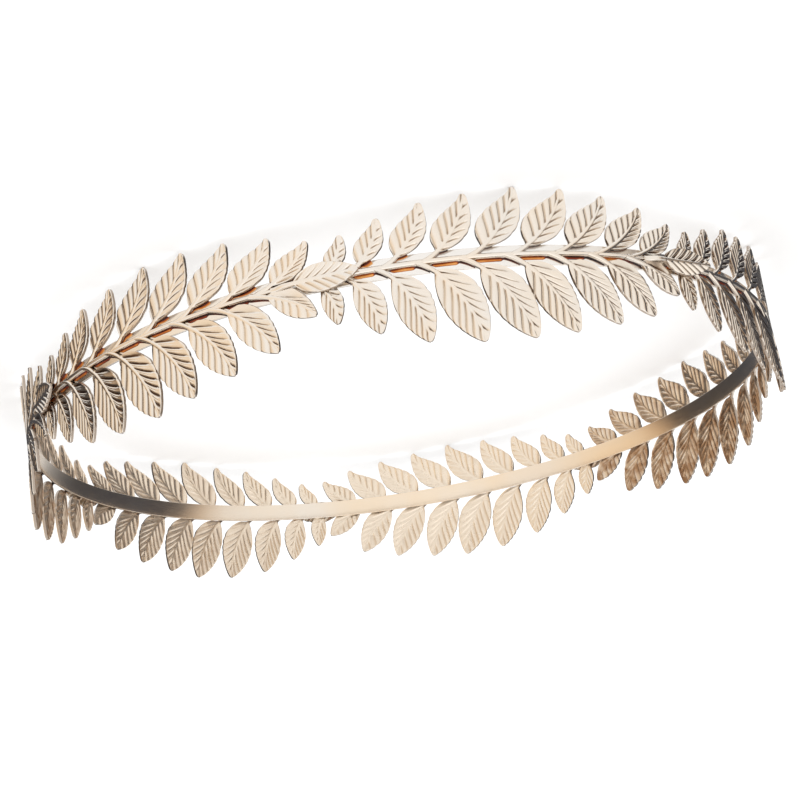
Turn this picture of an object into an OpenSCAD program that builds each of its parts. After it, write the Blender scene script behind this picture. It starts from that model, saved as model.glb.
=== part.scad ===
// Olive leaf crown: a flat metal hoop with seven stamped olive sprigs soldered round its outside.
// Millimetres, +Z up. The Z axis is the axis of the hoop, and Z = 0 is the surface that the
// lowest leaf tips stand on. The front of the crown faces -Y, and the sprigs run clockwise
// as seen from above, each one from its foot to the single leaf at its tip.

/* [Hoop] */
// Inside diameter of the hoop, where the head goes in
hoop_inner_d = 179; // [176:1:190]
// Thickness of the hoop's strip
hoop_t = 0.6; // [0.4:0.1:1]
// Height of the hoop's strip
hoop_h = 4.5; // [3.5:0.5:6]

/* [Sprigs] */
// Angle of the first leaf pair of the first sprig, from +X
first_pair_angle = -31.8; // [-180:0.1:180]
// Gap between the hoop and the back of a sprig's stem, filled by solder
seat_gap = 0.3; // [0.2:0.05:0.5]
// Height of the stem at the foot of a sprig
stem_foot_h = 1.5; // [1:0.1:2]
// Height of the stem at the last leaf pair
stem_tip_h = 1.0; // [0.8:0.1:1.4]
// Thickness of the stem, outwards from the hoop
stem_t = 0.9; // [0.7:0.1:1]

/* [Leaves] */
// Thickness of the leaf metal in the valleys between its veins
leaf_t = 0.5; // [0.4:0.05:0.8]
// Height of the side veins above the valleys
vein_h = 0.35; // [0.2:0.05:0.5]
// Height of the middle vein above the valleys
midrib_h = 0.5; // [0.3:0.05:0.7]
// Breadth of the leaves, 1 as worn and less for slimmer leaves
leaf_breadth = 1; // [0.8:0.05:1.05]
// Length of the leaf at the tip of a sprig
end_leaf_l = 15.5; // [12:0.5:16]
// How far the leaf at the tip stands out, to pass over the foot of the next sprig
end_leaf_lift = 1.0; // [1:0.1:1.4]

/* [Hidden] */
// Number of sprigs round the hoop
sprig_count = 7;

// Leaf pairs from the foot of a sprig to its tip. The slope is the leaf's angle to the stem.
GAP = 0;
UPPER_L = 1;
UPPER_SLOPE = 2;
LOWER_L = 3;
LOWER_SLOPE = 4;
PAIRS = [
    // [gap from the pair before, upper length, upper slope, lower length, lower slope]
    [0.0, 10.5, 78, 9.3, 66],
    [6.2, 14.5, 73, 12.0, 63],
    [7.4, 18.2, 70, 14.5, 61],
    [8.4, 20.5, 65, 15.8, 60],
    [9.1, 21.2, 61, 17.5, 57],
    [9.5, 20.2, 59, 17.5, 53],
    [9.6, 19.1, 55, 16.9, 50],
    [9.5, 17.2, 50, 15.6, 46],
    [9.0, 13.2, 34, 13.0, 41]
];
pair_count = len(PAIRS);
// The upper leaf of a pair leaves the stem this far before the lower one
pair_stagger = 1.3;
// The stem starts this far before the first pair and ends this far after the last one
stem_lead = 4;
stem_run_out = 2;
// The leaf at the tip starts this far after the last pair, and its rise needs this much length
end_leaf_start = 4.2;
stem_block_l = 1.1;
// The front of the stem is this share of the height of its back
stem_front_share = 0.5;
// How far a cutting shape reaches past what it cuts
cut_margin = 1;

seat_r = hoop_inner_d / 2 + hoop_t + seat_gap;
stem_r = seat_r + stem_t / 2;
deg_per_mm = 180 / (PI * stem_r);
sprig_angle = 360 / sprig_count;

// The lowest leaf tip stands at Z = 0, which sets the height of the hoop's middle
hoop_z = max([for (p = PAIRS) p[LOWER_L] * sin(p[LOWER_SLOPE])]);

// Leaf outlines, measured from the straight line between a leaf's root and its tip. The inner
// half is the one next to the stem. A peak is where along the blade a half is widest, and a
// power under 1 makes it full and round, over 1 lean and pointed.
INNER_SHARE = 0;
INNER_PEAK = 1;
INNER_POWER = 2;
OUTER_SHARE = 3;
OUTER_PEAK = 4;
OUTER_POWER = 5;
BOW_SHARE = 6;
// [inner half width as a share of the length, its peak, its power, the same for the outer half,
//  bow of the middle vein towards the stem as a share of the length]
UPPER_SHAPE = [0.262, 0.42, 0.67, 0.168, 0.50, 0.67, 0.06];
LOWER_SHAPE = [0.245, 0.46, 0.60, 0.206, 0.30, 1.20, 0.08];
END_SHAPE = [0.195, 0.42, 0.70, 0.195, 0.42, 0.70, 0];
// The bow of the middle vein is largest past the middle of the leaf
bow_power = 1.3;
// The side veins slant forwards: at mid length their feet lie this share of the length back
vein_slant = 0.25;
neck_share = 0.13;
neck_half_w = 0.45;
neck_root_inset = 0.15;
neck_root_t = 0.5;
// The neck leaves the stem this far before the place that the leaf points at
neck_back = 1.0;
// The middle vein loses this share of its height on the way to the tip
midrib_fall = 0.5;
// Each side of a leaf has one vein for every vein_pitch of the leaf's length, and a little more
vein_pitch = 4;
vein_extra_l = 1.2;

// Distance of leaf pair i from the first pair, along the stem
function pair_s(i) = i == 0 ? PAIRS[0][GAP] : pair_s(i - 1) + PAIRS[i][GAP];
last_s = pair_s(pair_count - 1);

// Half width at u, 0 at the blade's base and 1 at its tip, as a share of the widest
function half_shape(u, peak, power) = pow(sin(180 * pow(u, ln(0.5) / ln(peak))), power);

// Edge stations of a leaf: a vein and a valley in turn, and the tip
function station_count(length) = 2 * floor((length + vein_extra_l) / vein_pitch) + 1;

// Share of the blade at edge station j, and at the foot of the vein that ends there
function edge_u(j, m) = (j - 1) / (m - 1);
function vein_foot_u(u) = u - vein_slant * sin(180 * u);

// Relief at edge station j: veins and valleys take turns
function edge_c(j) = leaf_t + (j % 2 == 0 ? vein_h : 0);

// One side of the leaf's outline, in front or behind: side is 1 next to the stem and -1 away
function edge_points(length, slope, shape, m, side, front) =
    let (neck = neck_share * length, blade = length - neck,
         half_w = leaf_breadth * length * (side > 0 ? shape[INNER_SHARE] : shape[OUTER_SHARE]),
         peak = side > 0 ? shape[INNER_PEAK] : shape[OUTER_PEAK],
         power = side > 0 ? shape[INNER_POWER] : shape[OUTER_POWER])
    [for (j = [0:m - 1])
        j == 0
            ? [-neck_back * cos(slope), side * neck_half_w - neck_back * sin(slope),
               front ? neck_root_inset + neck_root_t : neck_root_inset]
            : [neck + blade * edge_u(j, m),
               side * max(neck_half_w, half_w * half_shape(edge_u(j, m), peak, power)),
               front ? edge_c(j) : 0]];

// The middle vein, which bows towards the stem and sinks a little towards the tip
function midrib_points(length, slope, shape, m) =
    let (neck = neck_share * length, blade = length - neck)
    [for (j = [0:m - 1])
        j == 0
            ? [-neck_back * cos(slope), -neck_back * sin(slope), neck_root_inset + neck_root_t]
            : let (u = vein_foot_u(edge_u(j, m)), x = neck + blade * u)
              [x, shape[BOW_SHARE] * length * sin(180 * pow(x / length, bow_power)),
               leaf_t + midrib_h * (1 - midrib_fall * u)]];

// Faces of a leaf with m stations. The points come as five runs of m, middle vein, inner and
// outer edge in front, inner and outer edge behind, and then the tip in front and behind.
function leaf_faces(m) =
    let (inner = m, outer = 2 * m, inner_b = 3 * m, outer_b = 4 * m,
         tip = 5 * m, tip_b = 5 * m + 1, e = m - 1)
    concat(
        [for (j = [0:m - 2]) each [
            [j, inner + j, inner + j + 1], [j, inner + j + 1, j + 1],
            [j, j + 1, outer + j + 1], [j, outer + j + 1, outer + j],
            [inner_b + j, outer_b + j, outer_b + j + 1],
            [inner_b + j, outer_b + j + 1, inner_b + j + 1],
            [inner + j, inner_b + j, inner_b + j + 1], [inner + j, inner_b + j + 1, inner + j + 1],
            [outer + j, outer + j + 1, outer_b + j + 1], [outer + j, outer_b + j + 1, outer_b + j]]],
        [[e, inner + e, tip], [e, tip, outer + e], [inner_b + e, outer_b + e, tip_b],
         [inner + e, inner_b + e, tip_b], [inner + e, tip_b, tip],
         [outer + e, tip, tip_b], [outer + e, tip_b, outer_b + e],
         [inner, 0, inner_b], [0, outer_b, inner_b], [0, outer, outer_b]]);

// A leaf that lies in its own X-Y plane with its face up, its stem running at the slope to it
module leaf(length, slope, shape) {
    m = station_count(length);
    polyhedron(
        points = concat(
            midrib_points(length, slope, shape, m),
            edge_points(length, slope, shape, m, 1, true),
            edge_points(length, slope, shape, m, -1, true),
            edge_points(length, slope, shape, m, 1, false),
            edge_points(length, slope, shape, m, -1, false),
            [[length, 0, leaf_t], [length, 0, 0]]),
        faces = leaf_faces(m));
}

// Moves a shape to the seat on the hoop, s along the stem and facing outwards as +X
module on_hoop(s, lift = 0) {
    rotate([0, 0, -s * deg_per_mm]) translate([seat_r + lift, 0, hoop_z]) children();
}

// Turns a shape from its own X-Y plane to face outwards, with its X along the stem
module face_out() {
    rotate([-90, 0, 0]) rotate([0, 90, 0]) children();
}

module upper_leaf(s, length, slope) {
    on_hoop(s) face_out() rotate([0, 0, -slope]) leaf(length, slope, UPPER_SHAPE);
}

module lower_leaf(s, length, slope) {
    on_hoop(s) face_out() rotate([0, 0, slope]) mirror([0, 1, 0])
        leaf(length, slope, LOWER_SHAPE);
}

// A short length of stem, wider at its back than at its front
module stem_block(s, height, lift = 0) {
    on_hoop(s, lift) rotate([90, 0, 0]) linear_extrude(height = stem_block_l, center = true)
        polygon([[0, -height / 2], [0, height / 2],
                 [stem_t, stem_front_share * height / 2], [stem_t, -stem_front_share * height / 2]]);
}

// The stem, in straight lengths from one leaf pair to the next
module stem() {
    ends = concat([-stem_lead], [for (i = [0:pair_count - 1]) pair_s(i)], [last_s + stem_run_out]);
    for (i = [0:len(ends) - 2]) hull() {
        stem_block(ends[i], stem_height(ends[i]));
        stem_block(ends[i + 1], stem_height(ends[i + 1]));
    }
}

function stem_height(s) =
    stem_foot_h + (stem_tip_h - stem_foot_h) * (s + stem_lead) / (last_s + stem_lead);

// The leaf that ends a sprig lies along the stem, and its neck steps out over the next foot
module end_leaf() {
    hull() {
        stem_block(last_s + stem_run_out, stem_tip_h);
        stem_block(last_s + end_leaf_start, stem_tip_h, end_leaf_lift);
    }
    on_hoop(last_s + end_leaf_start, end_leaf_lift) face_out() leaf(end_leaf_l, 0, END_SHAPE);
}

module sprig(number) {
    color([0.93, 0.84, 0.72])
    rotate([0, 0, first_pair_angle - (number - 1) * sprig_angle]) {
        stem();
        for (i = [0:pair_count - 1]) {
            upper_leaf(pair_s(i) - pair_stagger, PAIRS[i][UPPER_L], PAIRS[i][UPPER_SLOPE]);
            lower_leaf(pair_s(i), PAIRS[i][LOWER_L], PAIRS[i][LOWER_SLOPE]);
        }
        end_leaf();
    }
}

module band() {
    color([0.86, 0.75, 0.61])
    translate([0, 0, hoop_z - hoop_h / 2])
        difference() {
            cylinder(h = hoop_h, r = hoop_inner_d / 2 + hoop_t, $fn = 180);
            translate([0, 0, -cut_margin])
                cylinder(h = hoop_h + 2 * cut_margin, r = hoop_inner_d / 2, $fn = 180);
        }
}

band();
for (k = [1:sprig_count])
    sprig(k);
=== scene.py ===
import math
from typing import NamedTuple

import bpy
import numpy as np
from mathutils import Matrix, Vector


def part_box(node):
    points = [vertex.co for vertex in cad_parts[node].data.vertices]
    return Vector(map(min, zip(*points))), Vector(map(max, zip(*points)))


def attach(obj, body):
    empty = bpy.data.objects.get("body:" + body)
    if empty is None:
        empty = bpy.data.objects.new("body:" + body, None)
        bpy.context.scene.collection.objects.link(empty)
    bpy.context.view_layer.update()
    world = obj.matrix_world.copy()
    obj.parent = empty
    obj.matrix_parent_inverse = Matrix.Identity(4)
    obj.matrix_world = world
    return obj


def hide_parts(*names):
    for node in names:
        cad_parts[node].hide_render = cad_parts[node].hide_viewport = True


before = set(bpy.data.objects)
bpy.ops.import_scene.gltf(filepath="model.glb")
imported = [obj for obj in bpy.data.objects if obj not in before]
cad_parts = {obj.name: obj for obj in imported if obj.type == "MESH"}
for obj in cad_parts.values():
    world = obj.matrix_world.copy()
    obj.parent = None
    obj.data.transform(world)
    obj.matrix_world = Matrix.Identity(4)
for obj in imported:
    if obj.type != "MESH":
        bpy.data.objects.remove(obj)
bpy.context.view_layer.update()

# Olive leaf crown: a flat hoop with seven stamped olive sprigs round its outside.
# Lengths are in millimetres and angles in degrees, and turn into metres where a mesh is made.
# The frame is the CAD's: +Z is the hoop's axis, Z = 0 is the floor, and the front faces -Y.
# Points of a sprig are first given along its stem, away from it and outwards: along is the way
# the stem grows, away is up or down from it, and outwards is off the hoop.

MM = 0.001
SEED = 11

# ---- Sizes, as in the CAD source ----

band_low, band_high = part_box("band")
HOOP_OUTER_R = (band_high.x - band_low.x) / 2 / MM
HOOP_Z = (band_low.z + band_high.z) / 2 / MM
HOOP_H = (band_high.z - band_low.z) / MM
HOOP_T = 0.6
SEAT_GAP = 0.3  # between the hoop and the sprigs' inner side
SEAT_R = HOOP_OUTER_R + SEAT_GAP
STEM_T = 0.9
STEM_FOOT_H = 1.5
STEM_TIP_H = 1.0
STEM_R = SEAT_R + STEM_T / 2  # where lengths along a stem are measured
DEG_PER_MM = 180 / (math.pi * STEM_R)

SPRIG_COUNT = 7
FIRST_PAIR_ANGLE = -31.8  # of sprig 1's first leaf pair; the angle falls along a stem
PAIR_STAGGER = 1.3  # the upper leaf of a pair sits this far before the lower one
STEM_LEAD = 4.0  # length of the stem before its first pair
STEM_RUN_OUT = 2.0  # and past its last one
END_LEAF_START = 4.2  # past the last pair
END_LEAF_L = 15.5
END_LEAF_SLOPE = 0
END_LEAF_LIFT = 1.0  # rise over the next sprig's foot
END_LEAF_RISE_L = 3.0  # length before its place that it rises over

# Leaf pairs from the foot of a sprig to its tip:
# gap from the pair before, upper length, upper slope, lower length, lower slope
PAIRS = [
    (0.0, 10.5, 78, 9.3, 66),
    (6.2, 14.5, 73, 12.0, 63),
    (7.4, 18.2, 70, 14.5, 61),
    (8.4, 20.5, 65, 15.8, 60),
    (9.1, 21.2, 61, 17.5, 57),
    (9.5, 20.2, 59, 17.5, 53),
    (9.6, 19.1, 55, 16.9, 50),
    (9.5, 17.2, 50, 15.6, 46),
    (9.0, 13.2, 34, 13.0, 41),
]
PAIR_S = list(np.cumsum([gap for gap, *_ in PAIRS]))
LAST_S = PAIR_S[-1]

# ---- Outline of a leaf ----

INNER, OUTER = 1, -1  # a leaf's halves, and the sign of their Y: the inner one is next to the stem
NECK_SHARE = 0.13  # of the leaf's length before the blade's base
ROOT_HALF_W = 0.70  # of the petiole at the stem
NECK_HALF_W = 0.45  # and at the blade's base, where it is also the blade's least
TIP_HALF_W = 0.12  # the blade's least beside the middle vein, towards its tip
NARROW_SHARE = 0.8  # how far along the blade that one holds from
TIP_SPREAD = 2.5  # how far a tip's rounding reaches, in its radii
FULL_ROOT_LENGTH = 16  # leaves shorter than this leave the stem closer to their place
ROOT_HOLD = 0.21  # how long a petiole keeps its direction, as a share of the leaf's length
LOBE = 0.035  # how far the edge goes out at a rib's end, as a share of the half width
LOBE_MIDDLE = 0.6  # height on a rib's profile where a lobe adds nothing
# How many points stand for a curve, for the valleys' feet, and for a line across half a leaf
CURVE_POINTS = 241
VALLEY_FEET = 61
LINE_POINTS = 33


class Shape(NamedTuple):
    """One kind of leaf."""

    # For each half its width and where it is widest, as shares, and how slim its ends are
    halves: dict
    # For each half the valleys' angle to the stem, at the blade's base and at its tip
    valleys: dict
    root_back: float  # how far before its place the petiole leaves the stem
    root_angle: float  # the petiole's angle to the stem where it leaves it
    tip_turn: float  # how much the middle vein is turned at the tip
    tip_hold: float  # how long it keeps that direction, as a share of the leaf's length
    lean: float  # angle that its side towards the stem's growing end is turned to the hoop
    blunt: float  # radius of the tip


UPPER = Shape(
    halves={INNER: (0.262, 0.42, 0.67), OUTER: (0.168, 0.50, 0.67)},
    valleys={INNER: (14, 50), OUTER: (102, 95)},
    root_back=3.0, root_angle=12, tip_turn=17, tip_hold=0.45, lean=3.5, blunt=0.3,
)
LOWER = Shape(
    halves={INNER: (0.245, 0.50, 0.75), OUTER: (0.206, 0.31, 1.15)},
    valleys={INNER: (8, 36), OUTER: (103, 72)},
    root_back=2.6, root_angle=14, tip_turn=19, tip_hold=0.45, lean=2.0, blunt=0.6,
)
END = Shape(
    halves={INNER: (0.195, 0.42, 0.70), OUTER: (0.195, 0.42, 0.70)},
    valleys={INNER: (-44, -30), OUTER: (44, 30)},
    root_back=3.4, root_angle=0, tip_turn=0, tip_hold=0.35, lean=0, blunt=0.3,
)

# ---- Relief of a leaf ----

LEAF_T = 0.45  # metal at the bottom of a valley
BASE_RIBS, RIBS_PER_MM = 3, 0.2  # how many ribs each half has
RIB_H = {INNER: 0.37, OUTER: 0.42}  # rise of a rib over its valleys
RIB_FULLNESS = {INNER: 0.66, OUTER: 0.48}  # power of its profile: the lower, the broader its top
VALLEY_EASE = 0.05  # roundness of the valleys' bottoms
GROOVE = {INNER: 0.32, OUTER: 0.05}  # depth of the fine groove along a rib's top
GROOVE_W = 0.08
RIM_SHARE = {INNER: 0.80, OUTER: 1.1}  # the inner half's valleys end before its edge
RIM_FADE = 0.15
INNER_BEND = 0.020  # bend of the inner half's valleys, as a share of the length
FOOT_SLANT = 0.15  # how far the valleys' feet are drawn towards the blade's base
HOOK = 0.050  # how far a valley hooks back where it meets the middle vein
HOOK_START = 0.12  # where the hooks' size starts on its half wave along the blade
HOOK_POWER = 5  # how close to the middle vein the hooks stay
MIDRIB_H = 0.46  # the middle vein's rise at the blade's base
MIDRIB_FALL = 0.45  # and how much of it is lost by the tip
MIDRIB_HALF_W = (0.50, 0.22)  # at the blade's base and at its tip
MIDRIB_POWER = 0.8
# Where something starts beside the middle vein and over what width, in the vein's half widths
RIB_START = (0.75, 0.45)
TROUGH_END = (1.1, 1.0)
PIT_END = {INNER: (1.4, 2.2), OUTER: (1.0, 0.8)}
RIB_START_DROP = 0.45  # how much lower the ribs are where they start
TROUGH_DROP = 0.2  # and in the trough next to it
PIT_DEPTH = 0.14
PIT_POWER = 3  # how much narrower a pit is than its valley
PETIOLE_SIDE_H = (0.25, 0.55)  # at the stem and at the blade's base
EDGE_DROP = 0.16  # the rim's rounding
EDGE_START, EDGE_W = 0.95, 0.05  # where it starts and its width, as shares of the way out
EDGE_LEAST = 0.15  # height that it leaves
DISH = -0.03  # the edges stand this far out from the middle
DISH_SHARE = 0.25  # where they are this share of the leaf's length from the middle vein
BACK_EDGE = 0.06
BACK_FOLLOW = 0.80  # how much of the front's relief shows as hollows on the back

PETIOLE_ROWS = 6
# One rib's stations: close together at the valleys and at the groove along its top
RIB_STATIONS = (0.0, 0.05, 0.14, 0.28, 0.42, 0.50, 0.58, 0.72, 0.86, 0.95)
FAN_STATIONS = (0.0, 0.18, 0.36, 0.54, 0.70, 0.82, 0.92)  # half a rib, from neck to first valley
FAN_FOOT = 0.03  # how far before the first valley that half rib starts, as a share of the blade
LAST_STATION = 0.996  # just short of the tip, where the two edges meet
# Columns of half a blade: near the middle vein in its half widths, then as shares of the rest
NEAR_COLUMNS = (0.45, 0.80, 1.05, 1.40)
NEAR_LIMITS = (0.10, 0.19, 0.28, 0.37)
FAR_COLUMNS = (0.20, 0.42, 0.65, 0.86, 0.96, 1.0)
BACK_COLUMNS = (1, 3, 5, 7, 8)  # which of the front's columns the back has too

# ---- Bend of a leaf ----

TWIST_SPREAD = 1.6  # of the seeded turn about the middle vein
FLARE, FLARE_SPREAD = 0.4, 0.9  # of the seeded turn outwards towards the tip
BEND_SHARE = 0.4  # the blade takes up its twist, flare and lean over this share of the length
LEAN_PIVOT = 0.35  # it leans about this place, as a share of the length

# ---- Stem, and seams of painted shade ----

STEM_ROWS, STEM_COLUMNS = 150, 11
STEM_TAPER_L = 1.2  # length of its rounded ends
STEM_TAPER_LEAST = 0.05  # where on that rounding it is cut off
STEM_END_W, STEM_END_T = 0.45, 0.35  # least share of its width and rise there
STEM_FULLNESS = 0.75  # power of its half-round profile
SINK = 0.02  # how far stem and solder reach into the hoop

# A slot is a thin fillet along the stem between two upper leaves, carrying the painted shade and
# painted reflection of the gap there. It narrows to a crease, a line of painted shade along the
# outer side of the second one's petiole. A crook is a fillet painted the same way, in the corner
# between a lower leaf's inner edge and the hoop.
SEAM_TOP = 0.25  # the solder climbs this high on the stem's side
SEAM_FLOOR = 0.05  # and is this thick over the hoop at its far side
SEAM_POWER = 2.4  # hollowness between the two
SEAM_ROOT = 0.08  # how far it starts inside the stem's outline
SEAM_END = 2.15  # distance from the stem's middle where a seam ends, inside the hoop's edge
SEAM_STEP = 0.22  # between its rows
SEAM_LEAST_ROWS = 4
SEAM_COLUMNS = (0.0, 0.12, 0.30, 0.50, 0.70, 0.86, 1.0)
SLOT_W = 0.68
SLOT_LEAD = 0.35  # a slot starts this far past the leaf before it
SLOT_OFF_STEM = 0.2  # how far off the stem's side that leaf's place is taken
SLOT_START_L, SLOT_START_LEAST, SLOT_START_POWER = 1.1, 0.12, 0.7  # how it widens at its start
SLOT_DARK_L = 0.7  # length of its dark start
SLOT_ROWS, SLOT_CLIMB_ROWS = 29, 14
SLOT_VARIES = (0.85, 1.2)
CREASE_BEFORE, CREASE_OVER = 0.7, 0.8  # how far before the corner it starts, over what length
CREASE_W = (0.36, 0.18)  # at the stem and at the hoop's edge
CROOK_W = (0.10, 0.85)  # at the stem and at the hoop's edge
CROOK_OFF_STEM = 0.1  # how far off the stem's side a crook starts
CROOK_CLIMB_ROWS = 16
CROOK_WIDENS = 1.3  # how fast it gets its full width
CROOK_WARM_AT = 0.35  # crooks narrower than this are dark throughout
CROOK_VARIES = (0.6, 1.2)
# How dark the painted shade is across a seam: 0 is clean plate, 0.5 orange painted reflection, 1
# black
SLOT_PAINTED_SHADE = np.array([0.95, 0.78, 0.58, 0.44, 0.38, 0.46, 0.70])
CREASE_PAINTED_SHADE = np.array([0.95, 0.95, 0.95, 0.94, 0.92, 0.90, 0.80])
CROOK_PAINTED_SHADE = np.array([0.92, 0.86, 0.66, 0.48, 0.42, 0.37, 0.26])
# Valleys are painted darker with tarnish and painted shade; an upper leaf's inner half takes this
# much more
INNER_SHADE = 0.4  # the inner halves of the upper leaves have valleys this much more tarnished

# For each sprig, at its foot and at its tip: how broad its crooks of painted shade are, where less
# than 0 is none, how dark its leaves' valleys are painted with tarnish and painted shade, and how
# much painted shade browns its upper leaves' backs, the lower ones' half as much. The last number
# is how dark the painted shade in its slots is.
SPRIG_WEAR_AND_SHADE = [
    ((1.0, 1.0), (3.4, 0.3), (0.5, 0.0), 1.35),
    ((1.2, -1.6), (0.45, 1.2), (0.0, 0.0), 1.0),
    ((0.7, 0.3), (2.8, 2.4), (0.3, 1.0), 1.2),
    ((0.4, 0.8), (1.2, 1.6), (1.0, 0.80), 1.1),
    ((0.9, 0.5), (1.6, 1.0), (0.0, 0.0), 1.3),
    ((0.3, 0.9), (0.9, 1.4), (0.0, 0.35), 1.0),
    ((0.8, 0.8), (1.4, 1.8), (0.5, 1.0), 1.2),
]

# ---- Hoop ----

HOOP_CORNER_R = 0.16
CORNER_POINTS = 5
HOOP_POINTS = 360

# Angles between faces from which an edge is drawn sharp
HOOP_SHARP, LEAF_SHARP = 40, 50


def smoothstep(x):
    x = np.clip(x, 0, 1)
    return x * x * (3 - 2 * x)


def blend(a, b, share):
    return a + (b - a) * share


def unit(angle):
    a = math.radians(angle)
    return np.array([math.cos(a), math.sin(a)])


def half_shape(u, peak, power):
    """Half width at u, 0 at the blade's base and 1 at its tip, as a share of the widest."""
    u = np.clip(u, 0, 1)
    return np.sin(np.pi * u ** (math.log(0.5) / math.log(peak))) ** power


def tip_roundness(left, radius):
    """Half width that rounds a leaf's tip, where so much of its length is left."""
    ball = np.sqrt(1 - (1 - np.clip(left / radius, 0, 1)) ** 2)
    return radius * ball * np.exp(-((np.maximum(left / radius - 1, 0) / TIP_SPREAD) ** 2))


def edge_y(length, shape, side, x, midrib_y):
    """Y of the leaf's edge at x, outside the petiole and the middle vein at least."""
    neck = NECK_SHARE * length
    u = np.clip((x - neck) / (length - neck), 0, 1)
    share, peak, power = shape.halves[side]
    half_w = share * length * half_shape(u, peak, power)
    y = np.hypot(half_w, tip_roundness(length - x, shape.blunt))
    least = blend(NECK_HALF_W, TIP_HALF_W, smoothstep(u / NARROW_SHARE))
    return side * np.maximum(y, side * midrib_y + least)


class Midrib:
    """The middle vein, a smooth curve from the stem to the leaf's tip in the leaf's own plane.
    X runs from the leaf's root to its tip, and Y towards the stem's growing end."""

    def __init__(self, length, slope, shape):
        back = shape.root_back * min(1, length / FULL_ROOT_LENGTH)
        root = -back * unit(slope)
        tip = np.array([length, 0.0])
        out = root + ROOT_HOLD * length * unit(slope - shape.root_angle)
        into = tip - shape.tip_hold * length * unit(-shape.tip_turn)
        t = np.linspace(0, 1, CURVE_POINTS)[:, None]
        self.points = (
            (1 - t) ** 3 * root + 3 * t * (1 - t) ** 2 * out
            + 3 * t * t * (1 - t) * into + t**3 * tip
        )

    def at(self, x):
        return np.interp(x, self.points[:, 0], self.points[:, 1])


class Leaf:
    """Grids of points for one leaf in its own plane: its front, its back, and how deep in a
    valley each point of the front lies. Rows run along the leaf, and columns across it."""

    def __init__(self, length, slope, shape):
        self.length, self.slope, self.shape = length, slope, shape
        self.neck = NECK_SHARE * length
        self.blade = length - self.neck
        self.ribs = int(round(BASE_RIBS + RIBS_PER_MM * length))
        self.midrib = Midrib(length, slope, shape)
        self.make_stations()
        inner, inner_valley, inner_back = self.half(INNER)
        outer, outer_valley, outer_back = self.half(OUTER)
        middle, middle_back = self.middle()
        clean = np.zeros((len(middle), 1))
        self.front = np.concatenate([outer[:, ::-1], middle[:, None], inner], 1)
        self.valley = np.concatenate([outer_valley[:, ::-1], clean, inner_valley], 1)
        self.back = np.concatenate([outer_back[:, ::-1], middle_back[:, None], inner_back], 1)

    def make_stations(self):
        """Rows of the grid: along the petiole, then half a rib as a fan, then rib by rib. Each
        has its foot on the middle vein, its place u in the ribs, and its phase there: 0 at a
        valley and 0.5 on a rib's crest."""
        root_x = self.midrib.points[0, 0]
        fan = np.array(FAN_STATIONS)
        fan_foot = self.neck - FAN_FOOT * self.blade
        petiole_x = np.linspace(root_x, fan_foot, PETIOLE_ROWS, endpoint=False)
        fan_x = self.neck - FAN_FOOT * self.blade * (1 - fan)
        u = np.concatenate([(k + np.array(RIB_STATIONS)) / self.ribs for k in range(self.ribs)])
        u = np.append(u, LAST_STATION)
        rib_x = self.neck + self.blade * (u - FOOT_SLANT * u * np.sin(np.pi * u))
        before, middle = np.zeros(PETIOLE_ROWS), np.full(PETIOLE_ROWS, 0.5)
        self.foot_x = np.concatenate([petiole_x, fan_x, rib_x])
        self.fan = np.concatenate([before, fan, np.ones(len(u))])
        self.u = np.concatenate([before, np.zeros(len(fan)), u])
        self.phase = np.concatenate([middle, 0.5 + fan / 2, u * self.ribs % 1])
        self.is_petiole = np.arange(len(self.u)) < PETIOLE_ROWS
        along = np.clip((self.foot_x - self.neck) / self.blade, 0, 1)
        hooked = np.sin(np.pi * np.clip(blend(HOOK_START, 1, along), 0, 1))
        self.hook = HOOK * self.blade * hooked * self.fan
        self.midrib_half_w = blend(*MIDRIB_HALF_W, along)
        self.midrib_top = LEAF_T + MIDRIB_H * (1 - MIDRIB_FALL * along)

    def middle(self):
        """The column along the middle vein's crest, in front and behind."""
        x = self.foot_x - self.hook
        front = np.stack([x, self.midrib.at(x), self.midrib_top], -1)
        back = front.copy()
        back[:, 2] = BACK_FOLLOW * (self.midrib_top - LEAF_T)
        return front, back

    def half(self, side):
        """The columns of one half: its front, how deep they lie, and its back with the rim."""
        edge = self.edge(side)
        foot = np.stack([self.foot_x, self.midrib.at(self.foot_x)], -1)
        t = self.columns(side, foot, edge)
        hooked_x = self.foot_x[:, None] - self.hook[:, None] * (1 - t) ** HOOK_POWER
        start = np.stack([hooked_x, self.midrib.at(hooked_x)], -1)
        flat = start * (1 - t)[..., None] + edge[:, None] * t[..., None]
        if side == INNER:
            swell = (np.sin(np.pi * self.u) * self.fan * ~self.is_petiole)[:, None]
            flat[..., 0] += INNER_BEND * self.length * np.sin(np.pi * t) * swell
        away = self.from_midrib(side, flat)
        height, valley = self.relief(side, t, away)
        dish = DISH * (away / (DISH_SHARE * self.length)) ** 2 * ~self.is_petiole[:, None]
        front = np.concatenate([flat, (height + dish)[..., None]], -1)
        back = front.copy()
        back[..., 2] = dish + BACK_FOLLOW * np.maximum(height - LEAF_T, 0)
        rim = front[:, -1].copy()
        rim[:, 2] = dish[:, -1] + BACK_EDGE
        return front, valley, np.concatenate([back[:, list(BACK_COLUMNS)], rim[:, None]], 1)

    def edge(self, side):
        """The leaf's edge at each station, with a small lobe at the end of each rib."""
        share = np.clip((self.foot_x - self.neck) / self.blade, 0, 1)
        end = np.interp(share, *self.edge_ends(side)) * self.fan
        x = self.neck + self.blade * end
        y = edge_y(self.length, self.shape, side, x, self.midrib.at(x))
        lobes = LOBE * (np.abs(np.sin(np.pi * self.phase)) - LOBE_MIDDLE) * np.sin(np.pi * end)
        along = np.clip((self.foot_x - self.foot_x[0]) / (self.neck - self.foot_x[0]), 0, 1)
        petiole = blend(ROOT_HALF_W, NECK_HALF_W, smoothstep(along))
        petiole_y = self.midrib.at(self.foot_x) + side * petiole
        x = np.where(self.is_petiole, self.foot_x, x)
        y = np.where(self.is_petiole, petiole_y, y * (1 + lobes))
        return np.stack([x, y], -1)

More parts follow.
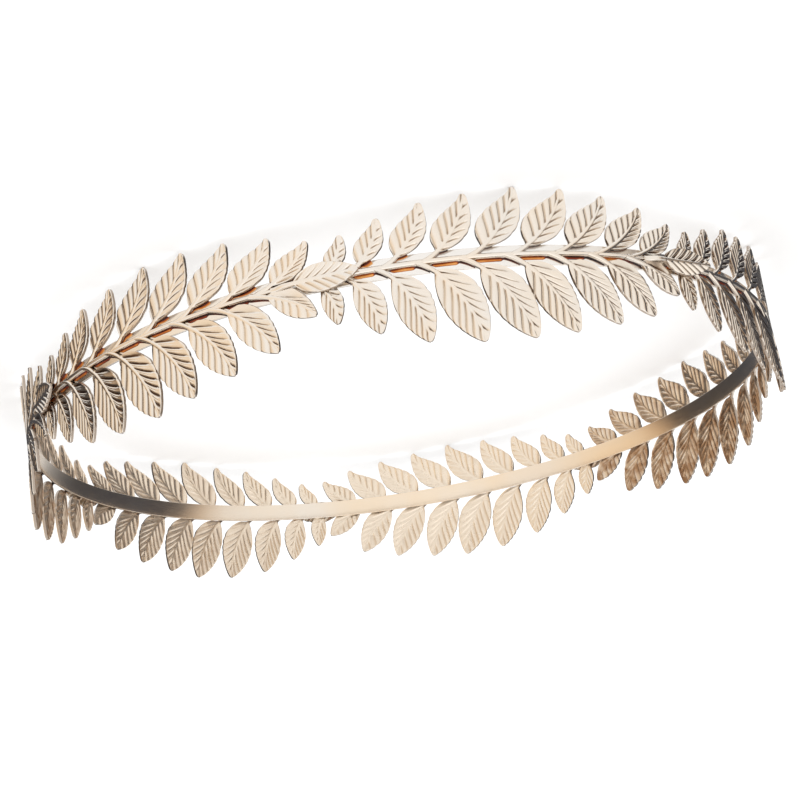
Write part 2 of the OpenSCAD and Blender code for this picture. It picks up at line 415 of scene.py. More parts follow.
    def edge_ends(self, side):
        """Where valleys with their feet at a row of places on the middle vein reach the edge,
        all as shares of the blade's length."""
        feet, ends = np.linspace(0, 1, VALLEY_FEET), np.linspace(0, 1, CURVE_POINTS)
        x = self.neck + self.blade * ends
        y = edge_y(self.length, self.shape, side, x, self.midrib.at(x))
        reached = []
        for foot in feet:
            turn = math.radians(self.slope - blend(*self.shape.valleys[side], foot))
            foot_x = self.neck + self.blade * foot
            rise = y - self.midrib.at(foot_x)
            # The valley's line meets the edge where this goes below 0
            cross = side * (math.cos(turn) * rise - math.sin(turn) * (x - foot_x))
            k = int(np.nonzero(cross >= 0)[0].max(initial=0))
            k = min(k, len(ends) - 2)
            step = cross[k] - cross[k + 1]
            share = np.clip(cross[k] / step, 0, 1) if step > 0 else 1.0
            reached.append(max(foot, blend(ends[k], ends[k + 1], share)))
        return feet, np.maximum.accumulate(reached)

    def from_midrib(self, side, flat):
        """Distance of points from the middle vein, across the leaf."""
        return np.maximum(side * (flat[..., 1] - self.midrib.at(flat[..., 0])), 0)

    def columns(self, side, foot, edge):
        """Shares of the way from the middle vein to the edge, for each station."""
        share = np.linspace(0, 1, LINE_POINTS)
        line = foot[:, None] * (1 - share)[:, None] + edge[:, None] * share[:, None]
        away = np.maximum.accumulate(self.from_midrib(side, line), 1)
        near = np.array([
            np.interp(np.array(NEAR_COLUMNS) * half_w, row, share)
            for row, half_w in zip(away, self.midrib_half_w)
        ])
        near = np.minimum(near, NEAR_LIMITS)
        last = near[:, -1:]
        return np.concatenate([near, last + (1 - last) * np.array(FAR_COLUMNS)], 1)

    def rib_profile(self, side):
        """Height of the ribs over their valleys and their depth at each station, 0 to 1."""
        power = RIB_FULLNESS[side]
        least, most = VALLEY_EASE**power, np.hypot(1, VALLEY_EASE) ** power
        rounded = np.hypot(np.sin(np.pi * self.phase), VALLEY_EASE) ** power
        rib = (rounded - least) / (most - least)
        groove = np.exp(-(((self.phase - 0.5) / GROOVE_W) ** 2))
        return (rib * (1 - GROOVE[side] * groove))[:, None], (1 - rib)[:, None]

    def relief(self, side, t, away):
        """Height of the front, and how deep it lies: 1 is a valley's bottom and 2 a pit's."""
        is_petiole, midrib_top = self.is_petiole[:, None], self.midrib_top[:, None]
        q = away / self.midrib_half_w[:, None]

        def past(start_and_width):
            start, width = start_and_width
            return smoothstep((q - start) / width)

        rib, depth = self.rib_profile(side)
        inside = past(RIB_START)
        amount = inside * (1 - smoothstep((t - RIM_SHARE[side]) / RIM_FADE))
        level = 1 - amount * (1 - rib)
        trough = TROUGH_DROP * inside * (1 - past(TROUGH_END))
        level = level * (1 - RIB_START_DROP * (1 - inside) - trough)
        pit = depth**PIT_POWER * inside * (1 - past(PIT_END[side]))
        ribs = LEAF_T + RIB_H[side] * level - PIT_DEPTH * pit
        bump = np.cos(np.pi / 2 * np.clip(q, 0, 1)) ** MIDRIB_POWER
        blade = np.maximum(ribs, ribs * (1 - bump) + midrib_top * bump)
        side_h = np.full(len(self.u), PETIOLE_SIDE_H[1])
        side_h[:PETIOLE_ROWS] = np.linspace(*PETIOLE_SIDE_H, PETIOLE_ROWS)
        side_h = side_h[:, None]
        petiole = side_h + (midrib_top - side_h) * np.sqrt(np.clip(1 - t**2, 0, 1))
        height = np.where(is_petiole, petiole, blade)
        drop = EDGE_DROP * np.clip((t - EDGE_START) / EDGE_W, 0, 1) ** 2
        drop = np.minimum(drop, height - EDGE_LEAST)
        valley = (depth * amount + pit) * ~is_petiole
        return height - drop, np.clip(valley, 0, 2)


def leaf_to_stem(points, slope):
    """From a leaf's own plane to (along the stem, away from it, outwards)."""
    s = math.radians(slope)
    a = points[..., 0] * math.cos(s) + points[..., 1] * math.sin(s)
    b = points[..., 0] * math.sin(s) - points[..., 1] * math.cos(s)
    return np.stack([a, b, points[..., 2]], -1)


def side_line(leaf, side):
    """A leaf's side, from the stem to the hoop's edge, as points (along the stem, away from it)."""
    edge = leaf.edge(side)
    line = leaf_to_stem(np.concatenate([edge, np.zeros((len(edge), 1))], 1), leaf.slope)[:, :2]
    return line[: int(np.argmax(line[:, 1] > SEAM_END)) + 1]


def along_line(line, away):
    """Where a side line is at given distances from the stem."""
    return np.interp(away, line[:, 1], line[:, 0])


def resample(path):
    """A seam's path in even steps, and how far along it they are."""
    lengths = np.concatenate([[0], np.cumsum(np.hypot(*np.diff(path, axis=0).T))])
    at = np.linspace(0, lengths[-1], max(SEAM_LEAST_ROWS, int(lengths[-1] / SEAM_STEP)))
    return at, np.stack([np.interp(at, lengths, path[:, k]) for k in (0, 1)], -1)


def stem_height(s):
    return STEM_FOOT_H + (STEM_TIP_H - STEM_FOOT_H) * (s + STEM_LEAD) / (LAST_S + STEM_LEAD)


# ---- Meshes ----

def make_mesh(name, points, faces, **values):
    """A mesh from points in millimetres, with a value for each point under each name."""
    mesh = bpy.data.meshes.new(name)
    mesh.from_pydata((points * MM).tolist(), [], faces)
    mesh.update()
    for kind, each in values.items():
        attribute = mesh.attributes.new(kind, "FLOAT", "POINT")
        attribute.data.foreach_set("value", each.astype(np.float32))
    return mesh


def grid_faces(rows, columns, first, flip=False):
    """Quads of a grid of points that starts at index first."""
    i = first + np.arange(rows - 1)[:, None] * columns + np.arange(columns - 1)
    quads = np.stack([i, i + 1, i + columns + 1, i + columns], -1).reshape(-1, 4)
    return quads[:, ::-1] if flip else quads


class Sprig:
    """Points and faces of one sprig, in millimetres, with four values for each point: how deep in
    a valley it lies, how much painted shade its seams carry, and whether it is on a matt back and
    how much painted shade browns it."""

    def __init__(self, number, rng):
        self.base_angle = FIRST_PAIR_ANGLE - (number - 1) * 360 / SPRIG_COUNT
        self.rng = rng
        self.points, self.quads, self.caps = [], [], []
        self.values = {"valley": [], "seam_shade": [], "matt": [], "back_shade": []}
        self.count = 0

    def add_shell(self, front, back, valley=0.0, seam_shade=0.0, matt=0.0, back_shade=0.0):
        """A closed shell between a front grid and a back grid with the same rows."""
        rows, wide = front.shape[:2]
        narrow = back.shape[1]
        f0, b0 = self.count, self.count + rows * wide
        self.points += [front.reshape(-1, 3), back.reshape(-1, 3)]
        front_values = {"valley": valley, "seam_shade": seam_shade, "matt": 0, "back_shade": 0}
        back_values = {"valley": 0, "seam_shade": 0, "matt": matt, "back_shade": back_shade}
        for kind, values in self.values.items():
            values.append(np.broadcast_to(front_values[kind], (rows, wide)).reshape(-1))
            values.append(np.full(rows * narrow, back_values[kind]))
        self.count += rows * (wide + narrow)
        self.quads.append(grid_faces(rows, wide, f0))
        self.quads.append(grid_faces(rows, narrow, b0, flip=True))
        r = np.arange(rows - 1)
        low_f, low_b = f0 + r * wide, b0 + r * narrow
        self.quads.append(np.stack([low_b, low_f, low_f + wide, low_b + narrow], -1))
        high_f, high_b = low_f + wide - 1, low_b + narrow - 1
        self.quads.append(np.stack([high_f, high_b, high_b + narrow, high_f + wide], -1))
        for row, flip in ((0, True), (rows - 1, False)):
            ring = list(range(f0 + row * wide, f0 + (row + 1) * wide))
            ring += list(range(b0 + (row + 1) * narrow - 1, b0 + row * narrow - 1, -1))
            self.caps.append(ring[::-1] if flip else ring)

    def mesh(self, name):
        faces = np.concatenate(self.quads).tolist() + self.caps
        values = {kind: np.concatenate(each) for kind, each in self.values.items()}
        return make_mesh(name, np.concatenate(self.points), faces, **values)

    def on_hoop(self, points, s, upwards):
        """Points (along the stem, away from it, outwards) set flat on the hoop, s along the
        stem."""
        angle = math.radians(self.base_angle - s * DEG_PER_MM)
        out = np.array([math.cos(angle), math.sin(angle), 0.0])
        along = np.array([math.sin(angle), -math.cos(angle), 0.0])
        up = np.array([0.0, 0.0, 1.0 if upwards else -1.0])
        a, b, r = points[..., 0:1], points[..., 1:2], points[..., 2:3]
        return a * along + b * up + (SEAT_R + r) * out + np.array([0.0, 0.0, HOOP_Z])

    def round_hoop(self, points, upwards=True):
        """Points (along the stem, away from it, outwards) bent round the hoop."""
        angle = np.radians(self.base_angle - points[..., 0] * DEG_PER_MM)
        radius = SEAT_R + points[..., 2]
        z = HOOP_Z + points[..., 1] * (1 if upwards else -1)
        return np.stack([radius * np.cos(angle), radius * np.sin(angle), z], -1)

    def add_stem(self):
        """The stem, a half-round rib that lies on the hoop and tapers at both ends."""
        s = np.linspace(-STEM_LEAD, LAST_S + STEM_RUN_OUT, STEM_ROWS)
        ends = np.clip(np.minimum(s - s[0], s[-1] - s) / STEM_TAPER_L, STEM_TAPER_LEAST, 1)
        taper = np.sqrt(np.clip(1 - (1 - ends) ** 2, 0, 1))
        half = stem_height(s) / 2 * blend(STEM_END_W, 1, taper)
        top = STEM_T * blend(STEM_END_T, 1, taper)
        turn = np.linspace(np.pi, 0, STEM_COLUMNS)
        across = np.cos(turn)[None] * half[:, None]
        rise = -SEAT_GAP + (top + SEAT_GAP)[:, None] * np.sin(turn)[None] ** STEM_FULLNESS
        along = np.broadcast_to(s[:, None], across.shape)
        front = np.stack([along, across, rise], -1)
        back = front[:, [0, -1]].copy()
        back[..., 2] = -SEAT_GAP - SINK
        self.add_shell(self.round_hoop(front), self.round_hoop(back))

    def add_leaf(self, s, length, slope, shape, upwards, shade, back_shade, lift=None):
        """A leaf s along the stem, with a seeded twist and flare."""
        leaf = Leaf(length, slope, shape)
        twist = math.tan(math.radians(self.rng.normal(0, TWIST_SPREAD)))
        flare = math.tan(math.radians(self.rng.normal(FLARE, FLARE_SPREAD)))
        lean = math.tan(math.radians(shape.lean))
        pivot = LEAN_PIVOT * length * math.cos(math.radians(slope))
        grids = []
        for grid in (leaf.front.copy(), leaf.back.copy()):
            past_neck = grid[..., 0] - leaf.neck
            bend = smoothstep(past_neck / (BEND_SHARE * length))
            grid[..., 2] += bend * (grid[..., 1] * twist + past_neck * flare)
            grid[..., 2] -= bend * (leaf_to_stem(grid, slope)[..., 0] - pivot) * lean
            if lift:
                grid[..., 2] += lift(grid[..., 0])
            grids.append(leaf_to_stem(grid, slope))
        if not upwards:
            # A tip that would go through the floor is drawn back to it
            shrink = min(1, HOOP_Z / max(grid[..., 1].max() for grid in grids))
            for grid in grids:
                grid[..., 1] *= shrink
        front, back = (self.on_hoop(grid, s, upwards) for grid in grids)
        # How dark the valleys are painted, with tarnish and painted shade
        columns = leaf.valley.shape[1]
        is_inner = np.arange(columns) > columns // 2
        shade = shade + INNER_SHADE * (is_inner & upwards)
        valley = np.minimum(leaf.valley, 1) * shade + np.maximum(leaf.valley - 1, 0)
        if upwards:
            front, back, valley = front[:, ::-1], back[:, ::-1], valley[:, ::-1]
        self.add_shell(front, back, valley, matt=1.0, back_shade=back_shade if upwards else back_shade / 2)
        return leaf

    def add_seam(self, path, hand, widths, seam_shade, upwards):
        """A thin fillet along a path of (place along the stem, distance from it), to its left for
        hand 1 and to its right for hand -1."""
        turn = np.gradient(path, axis=0)
        turn /= np.linalg.norm(turn, axis=1)[:, None]
        aside = hand * np.stack([-turn[:, 1], turn[:, 0]], -1)
        share = np.array(SEAM_COLUMNS)
        flat = path[:, None] + aside[:, None] * (widths[:, None] * share)[..., None]
        rise = -SEAT_GAP + SEAM_FLOOR + (SEAM_TOP + SEAT_GAP) * (1 - share) ** SEAM_POWER
        rise = np.broadcast_to(rise[None, :, None], (*flat.shape[:2], 1))
        front = np.concatenate([flat, rise], -1)
        back = front[:, [0, -1]].copy()
        back[..., 2] = -SEAT_GAP - SINK
        front, back = self.round_hoop(front, upwards), self.round_hoop(back, upwards)
        if upwards != (hand > 0):
            front, back, seam_shade = front[:, ::-1], back[:, ::-1], seam_shade[:, ::-1]
        # The fillet carries the seams' painted shade and painted reflection.
        self.add_shell(front, back, seam_shade=seam_shade)

    def add_slot(self, start, s, leaf, shade):
        """The slot and crease before an upper leaf, from its start along the stem."""
        half = stem_height(s) / 2 - SEAM_ROOT
        side = side_line(leaf, OUTER)
        corner = s + float(along_line(side, half))
        climb = np.linspace(half, SEAM_END, SLOT_CLIMB_ROWS)
        slot = np.linspace(start, corner, SLOT_ROWS, endpoint=False)
        at, path = resample(np.concatenate([
            np.stack([slot, np.full(SLOT_ROWS, half)], -1),
            np.stack([s + along_line(side, climb) + SEAM_ROOT, climb], -1),
        ]))
        stretch = corner - start
        crease = smoothstep((at - stretch + CREASE_BEFORE) / CREASE_OVER)
        narrow = blend(*CREASE_W, np.clip((at - stretch) / (at[-1] - stretch), 0, 1))
        begin = np.clip(at / SLOT_START_L, SLOT_START_LEAST, 1) ** SLOT_START_POWER
        widths = (SLOT_W * (1 - crease) + narrow * crease) * begin
        # Painted shade: dark at the slot's start and along the crease, orange painted reflection
        # between.
        dark = np.maximum(crease, 1 - smoothstep(at / SLOT_DARK_L))[:, None]
        seam_shade = SLOT_PAINTED_SHADE * shade * (1 - dark) + CREASE_PAINTED_SHADE * dark
        self.add_seam(path, 1, widths, seam_shade, True)

    def add_crook(self, s, leaf, breadth):
        """The crook between a lower leaf's inner edge and the hoop."""
        side = side_line(leaf, INNER)
        climb = np.linspace(stem_height(s) / 2 + CROOK_OFF_STEM, SEAM_END, CROOK_CLIMB_ROWS)
        at, path = resample(np.stack([s + along_line(side, climb) - SEAM_ROOT, climb], -1))
        widening = smoothstep(at / at[-1] * CROOK_WIDENS)
        widths = CROOK_W[0] + (CROOK_W[1] - CROOK_W[0]) * breadth * widening
        # Painted shade: wide crooks take orange painted reflection, narrow ones only a dark line.
        warm_share = smoothstep(breadth / CROOK_WARM_AT)
        seam_shade = CROOK_PAINTED_SHADE * warm_share + CREASE_PAINTED_SHADE * (1 - warm_share)
        seam_shade = np.broadcast_to(seam_shade, (len(at), len(seam_shade)))
        self.add_seam(path, -1, widths, seam_shade, False)


def lift_over(x):
    """How far the end leaf is lifted at x, to pass over the next sprig's foot."""
    return END_LEAF_LIFT * smoothstep((x + END_LEAF_RISE_L) / END_LEAF_RISE_L)


def make_sprig(number, rng):
    """A sprig: its stem, its pairs of leaves with the fillets of painted shade round them, and its
    end leaf.
    """
    sprig = Sprig(number, rng)
    sprig.add_stem()
    *along_sprig, slot_shade = SPRIG_WEAR_AND_SHADE[number - 1]
    crooks, shades, back_shades = (np.linspace(*ends, len(PAIRS)) for ends in along_sprig)
    slot_start = PAIR_S[0] - PAIR_STAGGER - STEM_LEAD
    for s, crook, shade, back_shade, pair in zip(PAIR_S, crooks.clip(0), shades, back_shades, PAIRS):
        _, upper_l, upper_slope, lower_l, lower_slope = pair
        upper_s = s - PAIR_STAGGER
        upper = sprig.add_leaf(upper_s, upper_l, upper_slope, UPPER, True, shade, back_shade)
        lower = sprig.add_leaf(s, lower_l, lower_slope, LOWER, False, shade, back_shade)
        sprig.add_slot(slot_start, upper_s, upper, slot_shade * rng.uniform(*SLOT_VARIES))
        sprig.add_crook(s, lower, crook * rng.uniform(*CROOK_VARIES))
        off_stem = along_line(side_line(upper, INNER), stem_height(s) / 2 + SLOT_OFF_STEM)
        slot_start = upper_s + float(off_stem) + SLOT_LEAD
    end_s = LAST_S + END_LEAF_START
    last = shades[-1], back_shades[-1]
    sprig.add_leaf(end_s, END_LEAF_L, END_LEAF_SLOPE, END, True, *last, lift_over)
    return sprig.mesh(f"olive_sprig_{number}")


def make_hoop():
    """The hoop: a flat strip with rounded edges, bent into a ring."""
    middle = np.array([HOOP_OUTER_R - HOOP_T / 2, HOOP_Z])
    reach = np.array([HOOP_T / 2 - HOOP_CORNER_R, HOOP_H / 2 - HOOP_CORNER_R])
    outline = np.array([
        middle + np.array(corner) * reach
        + HOOP_CORNER_R * unit(start + 90 * step / (CORNER_POINTS - 1))
        for corner, start in (((-1, -1), 180), ((1, -1), 270), ((1, 1), 0), ((-1, 1), 90))
        for step in range(CORNER_POINTS)
    ])
    count = len(outline)
    angle = np.radians(np.arange(HOOP_POINTS) * 360 / HOOP_POINTS)
    ring = np.stack([
        outline[None, :, 0] * np.cos(angle)[:, None],
        outline[None, :, 0] * np.sin(angle)[:, None],
        np.broadcast_to(outline[None, :, 1], (HOOP_POINTS, count)),
    ], -1)

    def at(i, j):
        return i % HOOP_POINTS * count + j % count

    i, j = np.arange(HOOP_POINTS)[:, None], np.arange(count)[None]
    quads = np.stack([at(i, j), at(i + 1, j), at(i + 1, j + 1), at(i, j + 1)], -1).reshape(-1, 4)
    inside = np.tile(outline[:, 0] < middle[0], HOOP_POINTS)
    return make_mesh("flat_hoop", ring.reshape(-1, 3), quads.tolist(), inside=inside)


def finish_piece(mesh, nodes, material, crease):
    """Makes the object for a mesh, with its material, in place of its CAD nodes."""
    mesh.materials.append(material)
    mesh.shade_smooth()
    mesh.set_sharp_from_angle(angle=math.radians(crease))
    piece = bpy.data.objects.new(mesh.name, mesh)
    bpy.context.scene.collection.objects.link(piece)
    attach(piece, "root")
    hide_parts(*nodes)


# ---- Shading ----

BLACK, WHITE = (0, 0, 0), (1, 1, 1)
OPENNESS_SAMPLES = 6


class Nodes:
    """The nodes of a material or a world, with a short way to add each kind. A value is a
    number, a colour or another node's output."""

    def __init__(self, owner):
        owner.use_nodes = True
        self.nodes, self.links = owner.node_tree.nodes, owner.node_tree.links

    def fill(self, node, inputs):
        for name, value in inputs.items():
            socket = node.inputs[name]
            if isinstance(value, bpy.types.NodeSocket):
                self.links.new(value, socket)
            elif isinstance(value, tuple):
                socket.default_value = (*value, 1)
            else:
                socket.default_value = value
        return node

    def add(self, kind, **inputs):
        return self.fill(self.nodes.new(kind), inputs)

    def coords(self, kind):
        return self.nodes.new("ShaderNodeTexCoord").outputs[kind]

    def attribute(self, name):
        node = self.nodes.new("ShaderNodeAttribute")
        node.attribute_name = name
        return node.outputs["Fac"]

    def noise(self, coords, scale, detail=4):
        """A noise texture; the scale is in cycles per metre."""
        node = self.add("ShaderNodeTexNoise", Scale=scale, Detail=detail, Vector=coords)
        return node.outputs["Fac"]

    def openness(self, distance):
        """How open a place is, from 0 in a corner to 1, looking so many millimetres round it."""
        node = self.add("ShaderNodeAmbientOcclusion", Distance=distance * MM)
        node.samples = OPENNESS_SAMPLES
        return node.outputs["AO"]

    def maths(self, operation, a, b=0.0, clamp=False):
        node = self.nodes.new("ShaderNodeMath")
        node.operation, node.use_clamp = operation, clamp
        return self.fill(node, {0: a, 1: b}).outputs["Value"]

    def spread(self, value, low, high, to_low, to_high):
        return self.fill(self.nodes.new("ShaderNodeMapRange"), {
            "Value": value, "From Min": low, "From Max": high, "To Min": to_low, "To Max": to_high
        }).outputs["Result"]

    def mix(self, factor, a, b, kind="RGBA"):
        """Value a where the factor is 0, and b where it is 1."""
        node = self.nodes.new("ShaderNodeMix")
        node.data_type = kind
        return self.fill(node, {"Factor": factor, "A": a, "B": b}).outputs["Result"]

    def ramp(self, value, stops):
        """A colour ramp from (place, colour) stops."""
        node = self.add("ShaderNodeValToRGB", Fac=value)
        elements = node.color_ramp.elements
        while len(elements) < len(stops):
            elements.new(0.5)
        for element, (place, colour) in zip(elements, stops):
            element.position, element.color = place, (*colour, 1)
        return node.outputs["Color"]

    def rise(self, value, low, high):
        """0 where the value is low, and 1 where it is high."""
        return self.ramp(value, [(low, BLACK), (high, WHITE)])

    def fall(self, value, low, high):
        """1 where the value is low, and 0 where it is high."""
        return self.ramp(value, [(low, WHITE), (high, BLACK)])


GOLD = (0.83, 0.77, 0.70)
GOLD_WARM = (0.85, 0.75, 0.64)
GOLD_BACK = (0.85, 0.735, 0.60)
# Painted shade that browns the backs
BACK_SHADE_BROWN = (0.40, 0.25, 0.15)
# The hoop's outside, painted paler as painted light
GOLD_PALE_LIT = (0.86, 0.825, 0.785)
GOLD_DEEP = (0.86, 0.70, 0.52)
# Valleys and pits are painted darker with tarnish and painted shade
VALLEY_TARNISH_SHADE = (0.77, 0.69, 0.60)
PIT_TARNISH_SHADE = (0.20, 0.125, 0.075)
# Painted shade along the cut edge
CUT_EDGE_SHADE = (0.44, 0.37, 0.31)
# Painted shade in the leaves' corners
CORNER_SHADE = (0.52, 0.38, 0.27)
# Orange-red painted shade in the hoop's corners
CREVICE_SHADE = (0.60, 0.24, 0.09)
# The seams' painted shade and painted reflection, from orange to black
SEAM_SHADE_RAMP = [
    (0.25, (0.80, 0.46, 0.18)),
    (0.45, (0.62, 0.20, 0.025)),
    (0.60, (0.24, 0.030, 0.008)),
    (0.78, (0.07, 0.014, 0.008)),
    (1.00, (0.02, 0.010, 0.008)),
]
# Noise textures, in cycles per metre, and where most of their values lie
TONE_SCALE, HOOP_TONE_SCALE = 90, 25
SPOT_SCALE, PATCH_SCALE = 420, 170
GRAIN_SCALE, SCRATCH_SCALE = 260, 4000
TONES = (0.35, 0.65)
GRAINS = (0.3, 0.7)
SCRATCH_LENGTH = 0.03  # metres of noise that the whole way round the hoop is squeezed into
SCRATCH_STRENGTH, SCRATCH_DEPTH = 0.10, 0.01
# How unevenly the backs' painted shade falls
SPOT_SHARE = (0.30, 1.30)  # how unevenly the backs are browned
# How unevenly the seams' painted shade falls
PATCH_SHARE = (0.78, 1.30)  # and the solder tarnished
# Roughness where the grain is low and where it is high
POLISHED = (0.17, 0.24)
BLASTED = (0.25, 0.33)
SATIN = (0.16, 0.26)
# The seams' painted shade is less metallic, so that its painted colour shows
BARE, DULL_BACK, SEAM_SHADE_METALLIC = 1.0, 0.88, 0.45  # how metallic
# Between which values each thing comes in or goes
DARK_DEPTHS = (0.12, 0.46)  # where 0.5 is a valley's bottom
PIT_DEPTHS = (0.45, 0.82)  # and 1 a pit's
# Where the seams' painted shade shows and where it dulls the metal
SEAM_SHADE_SHOWS = (0.02, 0.30)
SEAM_SHADE_DULLS = (0.1, 0.5)
LEAF_CORNER = (0.05, 0.36)
HOOP_CORNER = (0.12, 0.45)
LEAF_CORNER_REACH, HOOP_CORNER_REACH = 0.8, 0.5
# The sheet's cut edge lies between the front, 0, and the matt back, 1; it is painted darker, as
# painted shade
CUT_EDGE_SHADE_MASK = [(0.0, BLACK), (0.10, WHITE), (0.90, WHITE), (1.0, BLACK)]


def new_material(name):
    """A material with its nodes and its shader."""
    material = bpy.data.materials.new(name)
    tree = Nodes(material)
    return material, tree, tree.nodes["Principled BSDF"]


def leaf_metal():
    """Pale gold plate on stamped metal: darker in the valleys and pits with tarnish and painted
    shade, duller on the back and browned there in places with painted shade, painted shade in the
    corners, and painted shade and painted reflection on the seams."""
    material, tree, shader = new_material("pale_gold_leaf")
    coords = tree.coords("Object")
    behind, seam_shade = tree.attribute("matt"), tree.attribute("seam_shade")
    plate = tree.ramp(tree.noise(coords, TONE_SCALE), list(zip(TONES, (GOLD, GOLD_WARM))))
    half_depth = tree.spread(tree.attribute("valley"), 0, 2, 0, 1)
    # Darker in the valleys and pits: tarnish and painted shade
    plate = tree.mix(tree.rise(half_depth, *DARK_DEPTHS), plate, VALLEY_TARNISH_SHADE)
    plate = tree.mix(tree.rise(half_depth, *PIT_DEPTHS), plate, PIT_TARNISH_SHADE)
    spots = tree.spread(tree.noise(coords, SPOT_SCALE, 3), *TONES, *SPOT_SHARE)
    # Painted shade browning the backs, unevenly
    mottled_back_shade = tree.maths("MULTIPLY", tree.attribute("back_shade"), spots, clamp=True)
    plate = tree.mix(behind, plate, tree.mix(mottled_back_shade, GOLD_BACK, BACK_SHADE_BROWN))
    # Painted shade along the cut edge, between front and back
    plate = tree.mix(tree.ramp(behind, CUT_EDGE_SHADE_MASK), plate, CUT_EDGE_SHADE)
    # Painted shade in the corners, from ambient occlusion
    corner = tree.fall(tree.openness(LEAF_CORNER_REACH), *LEAF_CORNER)
    plate = tree.mix(corner, plate, CORNER_SHADE)
    # Painted shade and painted reflection on the seams, uneven in patches
    patches = tree.spread(tree.noise(coords, PATCH_SCALE, 3), *TONES, *PATCH_SHARE)
    uneven = tree.maths("MULTIPLY", seam_shade, patches)
    plate = tree.mix(tree.rise(uneven, *SEAM_SHADE_SHOWS), plate, tree.ramp(uneven, SEAM_SHADE_RAMP))
    grain = tree.noise(coords, GRAIN_SCALE, 2)
    front_rough, back_rough = (tree.spread(grain, *GRAINS, *ends) for ends in (POLISHED, BLASTED))
    bare = tree.spread(behind, 0, 1, BARE, DULL_BACK)
    seam_metallic = tree.spread(seam_shade, *SEAM_SHADE_DULLS, BARE, SEAM_SHADE_METALLIC)
    tree.fill(shader, {
        "Base Color": plate,
        "Roughness": tree.mix(behind, front_rough, back_rough, "FLOAT"),
        "Metallic": tree.maths("MINIMUM", bare, seam_metallic),
    })
    return material


def hoop_metal():
    """The same plate on rolled strip: satin, with fine scratches along the hoop. Its outside is
    painted paler as painted light, and its corners get orange-red painted shade.
    """
    material, tree, shader = new_material("pale_gold_hoop")
    coords = tree.coords("Object")
    place = tree.add("ShaderNodeSeparateXYZ", Vector=coords).outputs
    turned = tree.maths("ARCTAN2", place["Y"], place["X"])
    along = tree.spread(turned, -math.pi, math.pi, 0, SCRATCH_LENGTH)
    strip = tree.add("ShaderNodeCombineXYZ", X=along, Y=place["Z"]).outputs["Vector"]
    inner_tone = tree.ramp(tree.noise(coords, HOOP_TONE_SCALE), list(zip(TONES, (GOLD_DEEP, GOLD))))
    # The hoop's outside is painted paler, as painted light; its inside keeps a deeper gold of
    # random tone
    plate = tree.mix(tree.attribute("inside"), GOLD_PALE_LIT, inner_tone)
    # Orange-red painted shade where the stem and leaves hem the hoop in, from ambient occlusion
    corner = tree.fall(tree.openness(HOOP_CORNER_REACH), *HOOP_CORNER)
    plate = tree.mix(corner, plate, CREVICE_SHADE)
    brushed = tree.noise(strip, SCRATCH_SCALE)
    bump = tree.add(
        "ShaderNodeBump", Strength=SCRATCH_STRENGTH, Distance=SCRATCH_DEPTH * MM, Height=brushed
    )
    tree.fill(shader, {
        "Base Color": plate,
        "Roughness": tree.spread(brushed, *GRAINS, *SATIN),
        "Metallic": BARE,
        "Normal": bump.outputs["Normal"],
    })
    return material


# ---- Studio ----

FLOOR_HALF = 4.0  # metres
FLOOR_WHITE = (0.9, 0.9, 0.9)
STUDIO_TURN = 6.5  # degrees towards +X, seen from above
# The wall from straight in front, 0, round either side to straight behind, 1
WALL = [
    (0.0, (1.12, 1.11, 1.10)),
    (0.33, (1.06, 1.05, 1.03)),
    (0.43, (0.98, 0.95, 0.91)),
    (0.475, (0.72, 0.58, 0.45)),
    (0.52, (0.09, 0.085, 0.09)),
    (0.84, (0.07, 0.075, 0.09)),
    (0.93, (0.30, 0.29, 0.28)),
    (1.0, (0.90, 0.87, 0.83)),
]
WARM_SIDE = [(0.35, WHITE), (0.95, (0.98, 0.85, 0.69))]  # tint from the middle towards +X
# How much the wall gives way to plain light, from straight below, 0, to straight above, 1
OPEN_LIGHT = [(0.17, WHITE), (0.25, BLACK), (0.66, BLACK), (0.82, WHITE)]
SKY = (1.08, 1.08, 1.08)
FILL_LIGHT = (1.38, 1.38, 1.38)
BACKDROP = (1.0, 1.0, 1.0)
KEY_PLACE = (-0.5, -1.0, 1.6)  # metres
KEY_TARGET = (0, 0, 0.015)
KEY_SIZE = 1.6  # metres
KEY_ENERGY = 1.6


def make_floor():
    half = FLOOR_HALF / MM
    corners = np.array([(-half, -half, 0), (half, -half, 0), (half, half, 0), (-half, half, 0)])
    mesh = make_mesh("studio_floor", corners, [(0, 1, 2, 3)])
    material, tree, shader = new_material("matt_paper")
    tree.fill(shader, {"Base Color": FLOOR_WHITE, "Roughness": 0.9, "Specular IOR Level": 0.1})
    mesh.materials.append(material)
    floor = bpy.data.objects.new("studio_floor", mesh)
    floor.visible_glossy = False
    bpy.context.scene.collection.objects.link(floor)


def make_world():
    """Light from all round, dark at the rear of either side for the metal to mirror. The camera
    sees plain white."""
    world = bpy.data.worlds.new("soft_studio")
    bpy.context.scene.world = world
    tree = Nodes(world)
    place = tree.add("ShaderNodeSeparateXYZ", Vector=tree.coords("Generated")).outputs
    angle = tree.maths("ARCTAN2", place["X"], tree.maths("MULTIPLY", place["Y"], -1))
    from_front = tree.maths("ABSOLUTE", tree.maths("SUBTRACT", angle, math.radians(STUDIO_TURN)))
    wall = tree.ramp(tree.spread(from_front, 0, math.pi, 0, 1), WALL)
    warmed = tree.nodes.new("ShaderNodeVectorMath")
    warmed.operation = "MULTIPLY"
    tree.fill(warmed, {0: wall, 1: tree.ramp(place["X"], WARM_SIDE)})
    open_light = tree.ramp(tree.spread(place["Z"], -1, 1, 0, 1), OPEN_LIGHT)
    surround = tree.mix(open_light, warmed.outputs["Vector"], SKY)
    ray = tree.nodes.new("ShaderNodeLightPath").outputs
    surround = tree.mix(ray["Is Diffuse Ray"], surround, FILL_LIGHT)
    surround = tree.mix(ray["Is Camera Ray"], surround, BACKDROP)
    tree.fill(tree.nodes["Background"], {"Color": surround})


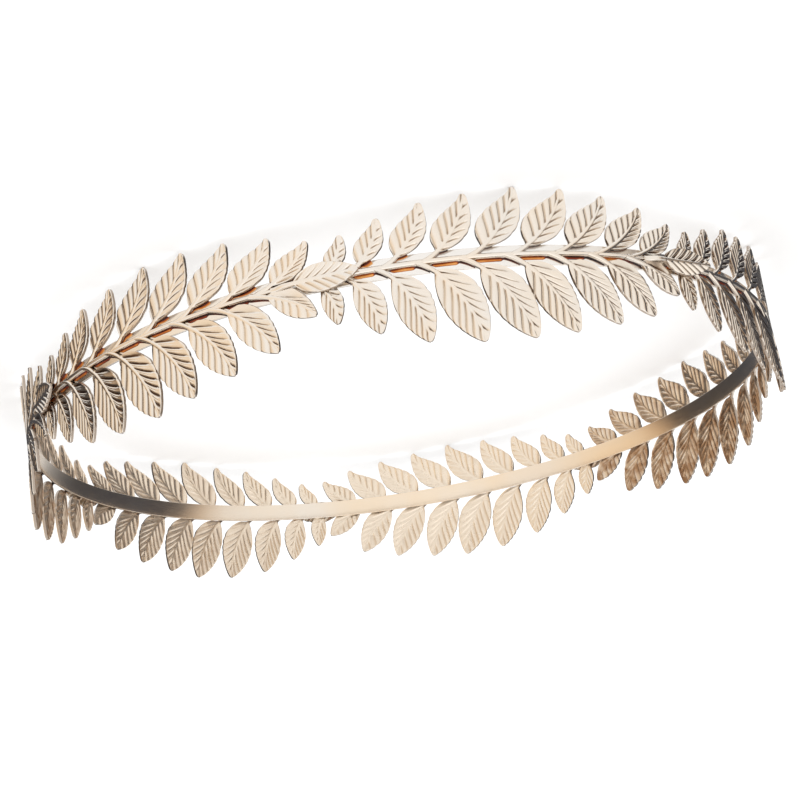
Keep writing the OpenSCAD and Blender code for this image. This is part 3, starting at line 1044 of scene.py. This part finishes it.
def make_key_light():
    light = bpy.data.lights.new("key_light", "AREA")
    light.shape, light.size, light.energy = "DISK", KEY_SIZE, KEY_ENERGY
    lamp = bpy.data.objects.new("key_light", light)
    lamp.location = KEY_PLACE
    aim = Vector(KEY_TARGET) - Vector(KEY_PLACE)
    lamp.rotation_euler = aim.to_track_quat("-Z", "Y").to_euler()
    bpy.context.scene.collection.objects.link(lamp)


# ---- Camera, fitted to the photograph ----

CAMERA_DISTANCE = 458.2  # from the hoop's middle
CAMERA_HEIGHT_ANGLE = 17.887
CAMERA_ROLL = -9.377
CAMERA_LENS = 83.54
CAMERA_SENSOR = 36
CAMERA_SHIFT = (-0.00302, 0.00684)


def make_camera():
    """The photograph shows the crown upside down, so the camera is rolled by half a turn."""
    tilt, roll = math.radians(CAMERA_HEIGHT_ANGLE), math.radians(CAMERA_ROLL)
    centre = Vector((0, 0, HOOP_Z * MM))
    back = Vector((0, -math.cos(tilt), math.sin(tilt)))
    right = Vector((1, 0, 0))
    up = back.cross(right)
    x_axis = -(math.cos(roll) * right + math.sin(roll) * up)
    y_axis = -(-math.sin(roll) * right + math.cos(roll) * up)
    data = bpy.data.cameras.new("camera")
    data.lens, data.sensor_width = CAMERA_LENS, CAMERA_SENSOR
    data.shift_x, data.shift_y = CAMERA_SHIFT
    camera = bpy.data.objects.new("camera", data)
    turn = Matrix((x_axis, y_axis, back)).transposed().to_4x4()
    camera.matrix_world = Matrix.Translation(centre + back * CAMERA_DISTANCE * MM) @ turn
    bpy.context.scene.collection.objects.link(camera)
    bpy.context.scene.camera = camera


rng = np.random.default_rng(SEED)
gold_leaf, gold_hoop = leaf_metal(), hoop_metal()
finish_piece(make_hoop(), ["band"], gold_hoop, HOOP_SHARP)
for number in range(1, SPRIG_COUNT + 1):
    sprig_mesh = make_sprig(number, rng)
    finish_piece(sprig_mesh, [f"sprig_{number}"], gold_leaf, LEAF_SHARP)
make_floor()
make_world()
make_key_light()
make_camera()
bpy.context.scene.view_settings.view_transform = "Standard"
